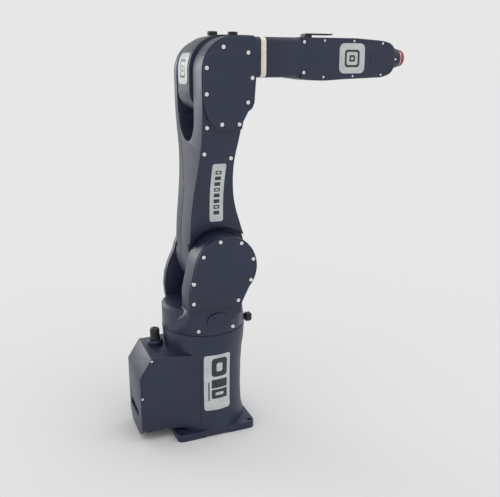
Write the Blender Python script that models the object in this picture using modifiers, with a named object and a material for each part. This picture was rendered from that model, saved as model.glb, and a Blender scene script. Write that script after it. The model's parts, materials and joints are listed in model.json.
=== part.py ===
"""A six-axis bench robot arm about one metre tall, as an assembly of separate pieces.

Metres, +Z up. The origin is on the first joint's axis, at the underside of the base. +X is the way the
forearm points at rest, and the large side covers and labels face -Y. Every moving group hangs from an
empty that sits on its joint's axis. The castings are shells: the motors, reducers, bearings and shafts
inside them are pieces of their own.
"""

import math

import bmesh
import bpy
from mathutils import Matrix, Vector

MM = 0.001
GAP = 0.3 * MM

# Joint axes
SHOULDER_X = 27 * MM
SHOULDER_Z = 450 * MM
ELBOW_X = 27 * MM
ELBOW_Z = 904 * MM
FOREARM_Z = 939 * MM
DRIVE_X = 348 * MM
WRIST_X = 465 * MM
FLANGE_X = 563 * MM

# Base
PLATE_SIDE = 208 * MM
PLATE_HEIGHT = 19 * MM
PLATE_CORNER = 14 * MM
BOLT_PITCH = 184 * MM
BOLT_HOLE_RADIUS = 5.5 * MM
COLUMN_TOP = 279 * MM
COLUMN_STEPS = 40
COLUMN_BORE = 86 * MM
DECK_Z = 262 * MM
REDUCER_BORE = 64.3 * MM
BOX_BOTTOM = 27 * MM
BOX_TOP = 226 * MM
BOX_REAR = -188 * MM
BOX_HALF_WIDTH = 69 * MM
REAR_COVER_BOTTOM = 9 * MM
COVER_THICKNESS = 10 * MM
CONNECTOR_SLOT = {"y": (-34 * MM, 54 * MM), "z": (54 * MM, 76 * MM)}
ROUND_CONNECTOR = (-124 * MM, 24 * MM)

# Waist
WAIST_BOTTOM = COLUMN_TOP + 1 * MM
WAIST_RADIUS = 106 * MM
TURNTABLE_TOP = 342 * MM
NEAR_HOUSING = (-105.7 * MM, -46 * MM)
FAR_EAR = (70 * MM, 88 * MM)
SHOULDER_DISC = 80 * MM
SHOULDER_BORE = 66 * MM
SIDE_COVER = 6 * MM

# Upper arm
ARM_HUB_RADIUS = 78 * MM
ARM_HUB_NEAR = -42 * MM
ARM_STEP_RADIUS = 92 * MM
ARM_WALL = 9 * MM
FORK_GAP = (-60 * MM, 64 * MM)
FORK_FLOOR = 745 * MM
ELBOW_FACE = -123 * MM
ELBOW_COVER = 5 * MM

# Elbow and forearm
ELBOW_HALF_WIDTH = 46 * MM
TUBE_HALF_WIDTH = 47 * MM
TUBE_HEIGHTS = (892 * MM, 985 * MM)
TUBE_CORNER = 12 * MM
NECK_END = 141 * MM
RING = (142 * MM, 155.5 * MM)
FOREARM_START = 156.5 * MM
COVER_START = 246 * MM
FOREARM_HALF_WIDTH = 40 * MM
WRIST_COVER_FACE = 47 * MM
WRIST_SLOT = 28 * MM
WRIST_SLOT_BACK = 408 * MM
WRIST_HALF_WIDTH = 26 * MM
BARREL_RADIUS = 34 * MM
NOSE_RADIUS = 25 * MM
BADGE_SIDE = 72 * MM
LABEL_THICKNESS = 1.2 * MM

ALONG_X = (0, math.pi / 2, 0)
ALONG_Y = (-math.pi / 2, 0, 0)
ALONG_Z = (0, 0, 0)
SIDE_VIEW = (math.pi / 2, 0, 0)
FRONT_VIEW = (math.pi / 2, 0, math.pi / 2)
BIG = 400 * MM


def clear_scene():
    for obj in list(bpy.data.objects):
        bpy.data.objects.remove(obj, do_unlink=True)


def make_collection(name, hidden=False):
    collection = bpy.data.collections.new(name)
    bpy.context.scene.collection.children.link(collection)
    collection.hide_render = hidden
    return collection


def make_material(name, colour, roughness, metallic=0.0):
    material = bpy.data.materials.new(name)
    material.use_nodes = True
    shader = material.node_tree.nodes["Principled BSDF"]
    shader.inputs["Base Color"].default_value = (*colour, 1.0)
    shader.inputs["Roughness"].default_value = roughness
    shader.inputs["Metallic"].default_value = metallic
    return material


clear_scene()
PARTS = make_collection("robot_arm")
CUTTERS = make_collection("cutters", hidden=True)
PAINT = make_material("navy_paint", (0.030, 0.036, 0.058), 0.42)
BLACK = make_material("black_plastic", (0.015, 0.015, 0.017), 0.5)
STEEL = make_material("steel", (0.55, 0.55, 0.56), 0.3, 1.0)
ALUMINIUM = make_material("aluminium", (0.75, 0.75, 0.76), 0.35, 1.0)
CREAM = make_material("cream_ring", (0.80, 0.77, 0.70), 0.45)
LABEL = make_material("label_plate", (0.72, 0.73, 0.74), 0.4)
MOTOR = make_material("motor_black", (0.03, 0.03, 0.032), 0.45, 0.3)
RUBBER = make_material("rubber", (0.02, 0.02, 0.02), 0.8)
RED = make_material("red_ring", (0.45, 0.02, 0.03), 0.4)
BOARD = make_material("circuit_board", (0.02, 0.16, 0.07), 0.5)


# ---- outlines ---------------------------------------------------------------------------------------


def arc(centre, radius, start, end, steps):
    """Points on a circle from start to end, in degrees."""
    points = []
    for i in range(steps + 1):
        angle = math.radians(start + (end - start) * i / steps)
        points.append((centre[0] + radius * math.cos(angle), centre[1] + radius * math.sin(angle)))
    return points


def rounded(corners, steps=4):
    """A closed outline from (u, v, radius) corners, each rounded by its own radius."""
    points = []
    for i, (u, v, radius) in enumerate(corners):
        here = Vector((u, v))
        if radius == 0:
            points.append((u, v))
            continue
        back = (Vector(corners[i - 1][:2]) - here).normalized()
        ahead = (Vector(corners[(i + 1) % len(corners)][:2]) - here).normalized()
        half = back.angle(ahead) / 2
        middle = here + (back + ahead).normalized() * radius / math.sin(half)
        first = here + back * radius / math.tan(half) - middle
        last = here + ahead * radius / math.tan(half) - middle
        turn = first.angle_signed(last)
        for step in range(steps + 1):
            spoke = Matrix.Rotation(-turn * step / steps, 2) @ first
            points.append(tuple(middle + spoke))
    return points


def rectangle(low, high, radius=0.0, steps=4):
    corners = [(low[0], low[1]), (high[0], low[1]), (high[0], high[1]), (low[0], high[1])]
    return rounded([(u, v, radius) for u, v in corners], steps)


def smooth(points, steps=4):
    """A smooth line through the given points (Catmull-Rom)."""
    ends = [points[0]] + list(points) + [points[-1]]
    line = [points[0]]
    for p0, p1, p2, p3 in zip(ends, ends[1:], ends[2:], ends[3:]):
        for i in range(1, steps + 1):
            t = i / steps
            line.append(tuple(
                0.5 * (2 * b + (c - a) * t + (2 * a - 5 * b + 4 * c - d) * t**2
                       + (3 * b - a - 3 * c + d) * t**3)
                for a, b, c, d in zip(p0, p1, p2, p3)
            ))
    return line


def in_mm(points):
    return [tuple(value * MM for value in point) for point in points]


def inset(points, distance):
    """The outline moved inwards by a distance. A negative distance moves it outwards."""
    turns = sum(a[0] * b[1] - b[0] * a[1] for a, b in zip(points, points[1:] + points[:1]))
    step = math.copysign(distance, turns) if distance > 0 else -math.copysign(distance, turns)
    moved = []
    for before, here, after in zip(points[-1:] + points[:-1], points, points[1:] + points[:1]):
        into = (Vector(here) - Vector(before)).normalized()
        away = (Vector(after) - Vector(here)).normalized()
        side = (into + away).orthogonal().normalized()
        lean = max(side.dot(into.orthogonal()), 0.4)
        moved.append(tuple(Vector(here) + side * step / lean))
    return moved


# ---- solids -----------------------------------------------------------------------------------------


def add_mesh(name, mesh, material, rotation=ALONG_Z, location=(0, 0, 0)):
    obj = bpy.data.objects.new(name, mesh)
    obj.rotation_euler = rotation
    obj.location = location
    PARTS.objects.link(obj)
    if material:
        mesh.materials.clear()
        mesh.materials.append(material)
    bpy.context.view_layer.update()
    return obj


def slab(name, outline, low, high, view, material=None):
    """A flat outline filled and extruded from low to high, square to the plane of its view."""
    curve = bpy.data.curves.new(name, "CURVE")
    curve.dimensions = "2D"
    curve.fill_mode = "BOTH"
    curve.extrude = (high - low) / 2
    spline = curve.splines.new("POLY")
    spline.points.add(len(outline) - 1)
    for point, (u, v) in zip(spline.points, outline):
        point.co = (u, v, 0, 1)
    spline.use_cyclic_u = True
    middle = (low + high) / 2
    location = {SIDE_VIEW: (0, middle, 0), FRONT_VIEW: (middle, 0, 0), ALONG_Z: (0, 0, middle)}[view]
    flat = bpy.data.objects.new(name + "_outline", curve)
    PARTS.objects.link(flat)
    mesh = bpy.data.meshes.new_from_object(flat.evaluated_get(bpy.context.evaluated_depsgraph_get()))
    bpy.data.objects.remove(flat)
    weld(mesh)
    return add_mesh(name, mesh, material, view, location)


def weld(mesh):
    shape = bmesh.new()
    shape.from_mesh(mesh)
    bmesh.ops.remove_doubles(shape, verts=shape.verts, dist=1e-6)
    bmesh.ops.recalc_face_normals(shape, faces=shape.faces)
    shape.to_mesh(mesh)
    shape.free()


def cylinder(name, radius, low, high, axis, centre, material=None, segments=24):
    """A round bar along an axis. The centre gives the two coordinates square to that axis."""
    shape = bmesh.new()
    bmesh.ops.create_cone(
        shape, cap_ends=True, segments=segments, radius1=radius, radius2=radius, depth=high - low
    )
    mesh = bpy.data.meshes.new(name)
    shape.to_mesh(mesh)
    shape.free()
    smooth_sides(mesh)
    return add_mesh(name, mesh, material, axis, axis_point(axis, centre, (low + high) / 2))


def axis_point(axis, centre, along):
    first, second = centre
    return {
        ALONG_X: (along, first, second),
        ALONG_Y: (first, along, second),
        ALONG_Z: (first, second, along),
    }[axis]


def block(name, low, high, material=None, bevel=0.0):
    shape = bmesh.new()
    bmesh.ops.create_cube(shape, size=1.0)
    size = [b - a for a, b in zip(low, high)]
    bmesh.ops.scale(shape, vec=size, verts=shape.verts)
    mesh = bpy.data.meshes.new(name)
    shape.to_mesh(mesh)
    shape.free()
    obj = add_mesh(name, mesh, material, location=[(a + b) / 2 for a, b in zip(low, high)])
    if bevel:
        soften(obj, bevel)
    return obj


def turned(name, profile, axis, centre, material=None, steps=24):
    """A profile of (radius, height) points turned about an axis. It runs down its outer side."""
    mesh = bpy.data.meshes.new(name)
    closed = profile[0][0] > 0 and profile[-1][0] > 0
    edges = [(i, i + 1) for i in range(len(profile) - 1)]
    if closed:
        edges.append((len(profile) - 1, 0))
    mesh.from_pydata([(radius, 0, height) for radius, height in profile], edges, [])
    obj = add_mesh(name, mesh, material, axis, axis_point(axis, centre, 0))
    screw = obj.modifiers.new("turn", "SCREW")
    screw.axis = "Z"
    screw.steps = screw.render_steps = steps
    screw.use_merge_vertices = True
    screw.merge_threshold = 1e-5
    screw.use_smooth_shade = False
    return obj


def hull(name, points):
    shape = bmesh.new()
    for point in points:
        shape.verts.new(point)
    made = bmesh.ops.convex_hull(shape, input=shape.verts)
    loose = [v for v in made["geom_interior"] if isinstance(v, bmesh.types.BMVert)]
    bmesh.ops.delete(shape, geom=loose, context="VERTS")
    bmesh.ops.recalc_face_normals(shape, faces=shape.faces)
    mesh = bpy.data.meshes.new(name)
    shape.to_mesh(mesh)
    shape.free()
    return add_mesh(name, mesh, None)


def tube(name, points, radius, material):
    curve = bpy.data.curves.new(name, "CURVE")
    curve.dimensions = "3D"
    curve.bevel_depth = radius
    curve.bevel_resolution = 2
    curve.use_fill_caps = True
    spline = curve.splines.new("POLY")
    spline.points.add(len(points) - 1)
    for point, place in zip(spline.points, points):
        point.co = (*place, 1)
    obj = bpy.data.objects.new(name, curve)
    curve.materials.append(material)
    PARTS.objects.link(obj)
    return obj


def smooth_sides(mesh):
    mesh.shade_smooth()
    mesh.set_sharp_from_angle(angle=math.radians(35))


def soften(obj, width, segments=1):
    bevel = obj.modifiers.new("soft_edges", "BEVEL")
    bevel.width = width
    bevel.segments = segments
    bevel.limit_method = "ANGLE"
    bevel.angle_limit = math.radians(40)


def combine(obj, helper, operation):
    boolean = obj.modifiers.new(operation.lower() + "_" + helper.name, "BOOLEAN")
    boolean.operation = operation
    boolean.solver = "EXACT"
    boolean.object = helper
    if helper.name in PARTS.objects:
        PARTS.objects.unlink(helper)
        CUTTERS.objects.link(helper)
    helper.hide_render = True
    helper.display_type = "WIRE"
    return obj


def cut(obj, *helpers):
    for helper in helpers:
        combine(obj, helper, "DIFFERENCE")
    return obj


def join(obj, *helpers):
    for helper in helpers:
        combine(obj, helper, "UNION")
    return obj


def keep_inside(obj, *helpers):
    for helper in helpers:
        combine(obj, helper, "INTERSECT")
    return obj


def joint_empty(name, location, parent=None):
    empty = bpy.data.objects.new(name, None)
    empty.empty_display_size = 0.05
    PARTS.objects.link(empty)
    empty.location = location
    bpy.context.view_layer.update()
    if parent:
        attach(parent, empty)
    return empty


def attach(parent, *children):
    bpy.context.view_layer.update()
    for child in children:
        child.parent = parent
        child.matrix_parent_inverse = parent.matrix_world.inverted()


def ring(name, outer, inner, low, high, axis, centre, material, steps=24):
    profile = [(outer, high), (outer, low), (inner, low), (inner, high)]
    return turned(name, profile, axis, centre, material, steps)


# ---- base -------------------------------------------------------------------------------------------


def column_profile(offset=0.0):
    """The slightly waisted outside of the column, from its top rim down to the flare on the plate."""
    side = in_mm([(107, 279), (105, 246), (100.5, 215), (97.2, 170), (95.5, 100), (97, 48), (104, 22)])
    side = [(radius + offset, height) for radius, height in side]
    return [(0, COLUMN_TOP)] + side + [(side[-1][0], 10 * MM), (0, 10 * MM)]


def box_plan():
    """Seen from above, the rear box widens from its cover towards the column."""
    rear, wide = BOX_HALF_WIDTH, 91 * MM
    return [(BOX_REAR - MM, -rear), (-120 * MM, -rear), (-42 * MM, -wide), (-42 * MM, wide),
            (-120 * MM, rear), (BOX_REAR - MM, rear)]


def box_side(shift):
    """The box from the side, with its sloping rear top edge, moved in from the cover by shift."""
    slope = Vector((33, 51)).normalized()
    normal = Vector((slope.y, -slope.x))
    corner = Vector((BOX_REAR, 178 * MM)) + normal * shift
    lower = corner + slope * ((BOX_REAR + shift - corner.x) / slope.x)
    upper = corner + slope * ((BOX_TOP - corner.y) / slope.y)
    return lower, upper


def make_base_casting():
    half = PLATE_SIDE / 2
    plate = rectangle((-half, -half), (half, half), PLATE_CORNER)
    casting = slab("base_casting", plate, 0, PLATE_HEIGHT, ALONG_Z, PAINT)
    column = turned("column_body", column_profile(), ALONG_Z, (0, 0), steps=COLUMN_STEPS)
    lower, upper = box_side(COVER_THICKNESS + GAP)
    side = [(-40 * MM, BOX_BOTTOM), (lower.x, BOX_BOTTOM), tuple(lower), tuple(upper), (-40 * MM, BOX_TOP)]
    box = slab("box_body", side, -120 * MM, 120 * MM, SIDE_VIEW)
    keep_inside(box, slab("box_plan", box_plan(), 0, 300 * MM, ALONG_Z))
    join(casting, column, box)
    room = slab("box_room", [
        (-60 * MM, BOX_BOTTOM + 8 * MM), (-250 * MM, BOX_BOTTOM + 8 * MM), (-250 * MM, 150 * MM),
        (-150 * MM, BOX_TOP - 10 * MM), (-60 * MM, BOX_TOP - 10 * MM)], -52 * MM, 52 * MM, SIDE_VIEW)
    cut(
        casting,
        cylinder("column_bore", COLUMN_BORE, -10 * MM, DECK_Z, ALONG_Z, (0, 0), segments=40),
        cylinder("deck_bore", REDUCER_BORE, DECK_Z - 20 * MM, 300 * MM, ALONG_Z, (0, 0), segments=40),
        room,
        block("plate_relief", (-32 * MM, -120 * MM, -5 * MM), (32 * MM, -92 * MM, 2.5 * MM)),
    )
    for x in (-1, 1):
        for y in (-1, 1):
            place = (x * BOLT_PITCH / 2, y * BOLT_PITCH / 2)
            hole = cylinder("bolt_hole", BOLT_HOLE_RADIUS, -9 * MM, 40 * MM, ALONG_Z, place, segments=16)
            cut(casting, hole)
    return casting


def make_rear_cover():
    outer_low, outer_high = box_side(0)
    inner_low, inner_high = box_side(COVER_THICKNESS)
    side = [
        (BOX_REAR, REAR_COVER_BOTTOM), (BOX_REAR, outer_low.y), tuple(outer_high),
        tuple(inner_high), tuple(inner_low), (inner_low.x, REAR_COVER_BOTTOM),
    ]
    cover = slab("rear_cover", side, -BOX_HALF_WIDTH, BOX_HALF_WIDTH, SIDE_VIEW, PAINT)
    low_corner = 36 * MM
    chamfered = [
        (-BOX_HALF_WIDTH - MM, low_corner), (-38 * MM, REAR_COVER_BOTTOM), (50 * MM, REAR_COVER_BOTTOM),
        (BOX_HALF_WIDTH + MM, low_corner), (BOX_HALF_WIDTH + MM, 300 * MM), (-BOX_HALF_WIDTH - MM, 300 * MM),
    ]
    keep_inside(cover, slab("cover_outline", chamfered, -250 * MM, 0, FRONT_VIEW))
    ends, heights = CONNECTOR_SLOT["y"], CONNECTOR_SLOT["z"]
    slot = rectangle((ends[0], heights[0]), (ends[1], heights[1]), 5 * MM)
    cut(cover, slab("connector_slot", slot, -250 * MM, -150 * MM, FRONT_VIEW))
    return cover


def make_main_connector():
    """The multi-pin block set back in the slot of the rear cover."""
    ends, heights = CONNECTOR_SLOT["y"], CONNECTOR_SLOT["z"]
    play = 1.5 * MM
    body = rectangle((ends[0] + play, heights[0] + play), (ends[1] - play, heights[1] - play), 4 * MM)
    connector = slab("main_connector", body, -186 * MM, -178.2 * MM, FRONT_VIEW, BLACK)
    pins, pitch = 6, 12 * MM
    middle = ((ends[0] + ends[1]) / 2, (heights[0] + heights[1]) / 2)
    for i in range(pins):
        place = (middle[0] + (i - (pins - 1) / 2) * pitch, middle[1])
        cut(connector, cylinder("pin_hole", 2.4 * MM, -190 * MM, -181 * MM, ALONG_X, place, segments=10))
    return connector


def make_round_connector():
    """The capped round connector that stands on the box beside the column."""
    base = turned("connector_base", in_mm([(0, 238), (17, 238), (20, 235), (20, 226.3), (0, 226.3)]),
                  ALONG_Z, ROUND_CONNECTOR, PAINT, 28)
    cap = turned("connector_cap", in_mm([
        (0, 268), (10.5, 268), (12, 266.5), (12, 247), (13.5, 246), (13.5, 238.3), (0, 238.3)]),
        ALONG_Z, ROUND_CONNECTOR, BLACK)
    return base, cap


def make_column_label():
    """A thin blank plate that follows the column's curved side."""
    front = column_profile(GAP + LABEL_THICKNESS)
    label = turned("column_label", front, ALONG_Z, (0, 0), LABEL, COLUMN_STEPS)
    outline = rectangle((-31 * MM, 70 * MM), (39 * MM, 225 * MM), 7 * MM)
    keep_inside(label, slab("label_outline", outline, -150 * MM, -60 * MM, SIDE_VIEW))
    return cut(label, turned("label_back", column_profile(GAP), ALONG_Z, (0, 0), steps=COLUMN_STEPS))


def make_servo(name, side, low, high, axis, centre, shaft_radius=7 * MM, shaft_end=None):
    """A square servo motor with rounded corners, and its shaft."""
    half, half_length = side / 2, (high - low) / 2
    outline = rectangle((-half, -half), (half, half), side * 0.12, 3)
    body = slab(name, outline, -half_length, half_length, ALONG_Z, MOTOR)
    body.rotation_euler = axis
    body.location = axis_point(axis, centre, (low + high) / 2)
    if shaft_end is not None:
        low_end, high_end = sorted((shaft_end, (low + high) / 2))
        join(body, cylinder(name + "_shaft", shaft_radius, low_end, high_end, axis, centre, segments=20))
    return body


def make_base():
    reducer = turned("j1_reducer", in_mm([
        (0, 270), (63.9, 270), (63.9, 261.7), (78, 261.7), (78, 252), (60, 252), (60, 212), (0, 212)]),
        ALONG_Z, (0, 0), STEEL)
    base, cap = make_round_connector()
    return [
        make_base_casting(), make_rear_cover(), make_main_connector(), base, cap, make_column_label(),
        cylinder("bottom_cover", COLUMN_BORE - GAP, 0, 4 * MM, ALONG_Z, (0, 0), PAINT, 40),
        block("interface_board", (-150 * MM, -42 * MM, 96 * MM), (-98 * MM, 42 * MM, 99 * MM), BOARD),
        make_servo("j1_motor", 70 * MM, 80 * MM, 205 * MM, ALONG_Z, (0, 0), shaft_end=211.7 * MM),
        reducer,
        block("j1_stop_block", (107.6 * MM, -29 * MM, 269 * MM), (127 * MM, -11 * MM, 292 * MM),
              BLACK, 4 * MM),
    ]


# ---- waist ------------------------------------------------------------------------------------------


def near_housing_outline():
    """The near shoulder housing from the side: a round head on a straight-backed neck."""
    head = arc((SHOULDER_X, SHOULDER_Z), SHOULDER_DISC, 168, -42, 24)
    return in_mm([(66, 330), (-68, 330), (-68, 392)]) + head + in_mm([(69, 362), (66, 346)])


def far_ear_outline():
    """The far shoulder plate from the side, with its fuller back."""
    head = arc((SHOULDER_X, SHOULDER_Z), SHOULDER_DISC, 172, -42, 20)
    back = in_mm([(66, 330), (-78, 330), (-80, 350), (-81, 368), (-77, 400), (-68, 428)])
    return back + head + in_mm([(68, 360)])


def circle(radius, centre, height, steps):
    return [(x, y, height) for x, y in arc(centre, radius, 0, 360 - 360 / steps, steps - 1)]


def make_turntable():
    """The round body on the first joint, a little narrower at its front than at its back."""
    points = circle(WAIST_RADIUS, (0, 0), WAIST_BOTTOM, COLUMN_STEPS)
    points += circle(WAIST_RADIUS, (0, 0), WAIST_BOTTOM + 14 * MM, COLUMN_STEPS)
    points += circle(WAIST_RADIUS - 3 * MM, (-3 * MM, 0), TURNTABLE_TOP - 7 * MM, COLUMN_STEPS)
    points += circle(WAIST_RADIUS - 10 * MM, (-3 * MM, 0), TURNTABLE_TOP, COLUMN_STEPS)
    return hull("turntable", points)


def make_near_foot():
    """The blend from the turntable out to the near housing's flat face."""
    points = circle(WAIST_RADIUS, (0, 0), WAIST_BOTTOM, COLUMN_STEPS)
    points += circle(WAIST_RADIUS, (0, 0), WAIST_BOTTOM + 8 * MM, COLUMN_STEPS)
    for x in (-68 * MM, 66 * MM):
        points += [(x, y, 345 * MM) for y in NEAR_HOUSING]
    return hull("near_foot", points)


def make_waist_casting():
    casting = slab("waist_casting", near_housing_outline(), *NEAR_HOUSING, SIDE_VIEW, PAINT)
    join(
        casting,
        make_turntable(),
        make_near_foot(),
        slab("far_ear", far_ear_outline(), *FAR_EAR, SIDE_VIEW),
    )
    shoulder = (SHOULDER_X, SHOULDER_Z)
    cut(
        casting,
        cylinder("motor_room", SHOULDER_BORE, -120 * MM, -56 * MM, ALONG_Y, shoulder, segments=40),
        cylinder("drive_window", 50.3 * MM, -60 * MM, -40 * MM, ALONG_Y, shoulder),
        cylinder("bearing_seat", 26.3 * MM, 60 * MM, 100 * MM, ALONG_Y, shoulder, segments=32),
        cylinder("turntable_room", 80 * MM, 200 * MM, 322 * MM, ALONG_Z, (0, 0), segments=40),
        cylinder("cable_way", 16 * MM, 300 * MM, 420 * MM, ALONG_Z, (0, -76 * MM), segments=20),
    )
    return casting


def make_waist():
    shoulder = (SHOULDER_X, SHOULDER_Z)
    face = NEAR_HOUSING[0] - GAP
    cover_top = arc(shoulder, SHOULDER_DISC - 1.5 * MM, 168, -42, 24)
    cover_outline = in_mm([(64.5, 352), (-66.5, 352), (-66.5, 392)]) + cover_top + in_mm([(67.5, 362)])
    near_cover = slab("near_shoulder_cover", cover_outline, face - SIDE_COVER, face, SIDE_VIEW, PAINT)
    soften(near_cover, 1.2 * MM)
    far_cover = turned("far_shoulder_cover", in_mm([
        (0, 101), (36, 101), (39, 98), (39, 88.3), (31, 88.3), (31, 96), (0, 96)]), ALONG_Y, shoulder, PAINT)
    brow = smooth(in_mm([(-24, 317), (-18, 330), (5, 338), (27, 332), (33, 321), (27, 315), (5, 317),
                         (-17, 311), (-24, 317)]), 3)[1:]
    inspection = slab("waist_inspection_cover", brow, face - 4 * MM, face, SIDE_VIEW, PAINT)
    reducer = turned("j2_reducer", in_mm([
        (0, -46.6), (50, -46.6), (50, -56.3), (62, -56.3), (62, -72), (0, -72)]), ALONG_Y, shoulder, STEEL)
    return [
        make_waist_casting(), near_cover, far_cover, inspection, reducer,
        ring("j1_seal_ring", 79 * MM, 74 * MM, 279.4 * MM, 285 * MM, ALONG_Z, (0, 0), RUBBER),
        turned("j1_output_flange", in_mm([
            (0, 321.7), (73, 321.7), (73, 308), (60, 308), (60, 270.3), (0, 270.3)]), ALONG_Z, (0, 0), STEEL),
        cylinder("j2_motor", 45 * MM, -105 * MM, -72.3 * MM, ALONG_Y, shoulder, MOTOR),
        ring("j2_far_bearing", 26 * MM, 18 * MM, 71 * MM, 87 * MM, ALONG_Y, shoulder, STEEL),
    ]


# ---- upper arm --------------------------------------------------------------------------------------

NEAR_FACE = smooth(in_mm([
    (-58, 360), (-58, 540), (-59, 585), (-63, 625), (-73, 662), (-89, 702), (-105, 740), (-116, 778),
    (-122, 818), (-123, 860), (-123, 1000)]), 2)
FAR_FACE = smooth(in_mm([
    (64, 360), (64, 590), (69, 654), (77, 717), (89, 771), (97, 830), (98, 880), (98, 1000)]), 2)
PARTING = smooth(in_mm([
    (16, 360), (16, 600), (23, 643), (41, 700), (53, 745), (65, 790), (71, 840), (72, 900), (72, 1000)]), 2)


def arm_rear():
    return smooth(in_mm([
        (-48, 500), (-45, 549), (-38.5, 612), (-33, 664), (-30, 730), (-31, 800), (-31, 860)]), 3)


def arm_front():
    return smooth(in_mm([
        (62.5, 778), (57, 732), (56, 695), (60.5, 644), (68.5, 593), (83, 543), (95, 505)]), 3)


def elbow_edge():
    """The fork's head: a large round over the back, a square shoulder over the forearm."""
    return arc((47 * MM, 905 * MM), 78 * MM, 180, 90, 10) + in_mm([
        (91, 983), (97, 977), (97, 892), (93, 838), (88, 826), (78, 819), (66, 797)])


def arm_outline():
    hub = arc((SHOULDER_X, SHOULDER_Z), ARM_HUB_RADIUS, 25, -200, 26)
    return arm_rear() + elbow_edge() + arm_front() + hub


def cavity_outline():
    """The arm's hollow from the side, a wall's thickness inside its outline."""
    rear = [(x + ARM_WALL, z) for x, z in arm_rear() if z < FORK_FLOOR - 10 * MM]
    front = [(x - ARM_WALL, z) for x, z in arm_front() if z < FORK_FLOOR - 10 * MM]
    return rear + front + arc((SHOULDER_X, SHOULDER_Z), ARM_HUB_RADIUS - ARM_WALL, 25, -200, 18)


def band(name, near, far):
    """A solid between two lines seen from the front, right through the arm."""
    return slab(name, near + far[::-1], -BIG, BIG, FRONT_VIEW)


def shifted(line, step):
    return [(y + step, z) for y, z in line]


def make_upper_arm_casting():
    casting = slab("upper_arm_casting", arm_outline(), -150 * MM, 120 * MM, SIDE_VIEW, PAINT)
    keep_inside(casting, band("casting_band", NEAR_FACE, shifted(PARTING, -GAP)))
    radius = (FORK_GAP[1] - FORK_GAP[0]) / 2
    middle = (FORK_GAP[0] + FORK_GAP[1]) / 2
    gap = [(BIG, 1.1), (FORK_GAP[0], 1.1)]
    gap += arc((middle, FORK_FLOOR + radius), radius, 180, 360, 16) + [(BIG, FORK_FLOOR + radius)]
    hollow = slab("arm_hollow", cavity_outline(), -150 * MM, 120 * MM, SIDE_VIEW)
    inner = [(max(y + ARM_WALL, -95 * MM), z) for y, z in NEAR_FACE if z > 580 * MM]
    inner = [(ARM_HUB_NEAR + 10 * MM, 340 * MM), (ARM_HUB_NEAR + 10 * MM, 556 * MM)] + inner
    keep_inside(hollow, band("hollow_band", inner, shifted(FAR_FACE, 30 * MM)))
    ear_room = slab("ear_room", rounded(in_mm([
        (-20, 800, 20), (-20, 972, 60), (86, 972, 8), (86, 850, 12), (60, 812, 8), (52, 800, 8)])),
        -150 * MM, FORK_GAP[0] - 8 * MM, SIDE_VIEW)
    cut(
        casting,
        slab("fork_gap", gap, -BIG, BIG, FRONT_VIEW),
        cylinder("shoulder_step", ARM_STEP_RADIUS, -200 * MM, ARM_HUB_NEAR, ALONG_Y,
                 (SHOULDER_X, SHOULDER_Z), segments=48),
        hollow,
        ear_room,
        cylinder("hub_bore", 40.3 * MM, -60 * MM, -20 * MM, ALONG_Y, (SHOULDER_X, SHOULDER_Z)),
        cylinder("elbow_bore", 50.3 * MM, -90 * MM, -40 * MM, ALONG_Y, (ELBOW_X, ELBOW_Z)),
        slab("harness_way", rectangle((10 * MM, 715 * MM), (40 * MM, 830 * MM), 6 * MM), -92 * MM, -64 * MM,
             SIDE_VIEW),
    )
    return casting


def make_far_arm_plate():
    """The long dished plate that closes the arm's far side and is the fork's far ear."""
    plate = slab("far_arm_plate", arm_outline(), -50 * MM, 150 * MM, SIDE_VIEW, PAINT)
    keep_inside(plate, band("plate_band", PARTING, FAR_FACE))
    dish = slab("plate_dish", cavity_outline(), -50 * MM, 150 * MM, SIDE_VIEW)
    keep_inside(dish, band("dish_band", shifted(FAR_FACE, -80 * MM), shifted(FAR_FACE, -ARM_WALL)))
    cut(plate, dish, cylinder("far_bore", 26.3 * MM, 50 * MM, 84 * MM, ALONG_Y, (ELBOW_X, ELBOW_Z)))
    return plate


def make_elbow_cover():
    outline = arc((48 * MM, 904 * MM), 77 * MM, 180, 90, 10) + in_mm([(90, 981), (95.5, 976), (95.5, 892)])
    outline += in_mm([(91.5, 839), (86.5, 827), (77, 820), (64.5, 798), (61, 781), (4, 781)])
    outline += smooth(in_mm([(4, 781), (-12, 796), (-23, 817), (-29, 845)]), 3)[1:]
    face = ELBOW_FACE - GAP
    cover = slab("near_elbow_cover", outline, face - ELBOW_COVER, face, SIDE_VIEW, PAINT)
    soften(cover, 1.2 * MM)
    return cover


def make_arm_label():
    """A thin blank plate that follows the arm's flared near face."""
    outline = rectangle((3 * MM, 556 * MM), (37 * MM, 700 * MM), 5 * MM)
    label = slab("arm_label", outline, -150 * MM, -20 * MM, SIDE_VIEW, LABEL)
    back = shifted(NEAR_FACE, -GAP)
    keep_inside(label, band("label_band", shifted(back, -LABEL_THICKNESS), back))
    return label


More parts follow.
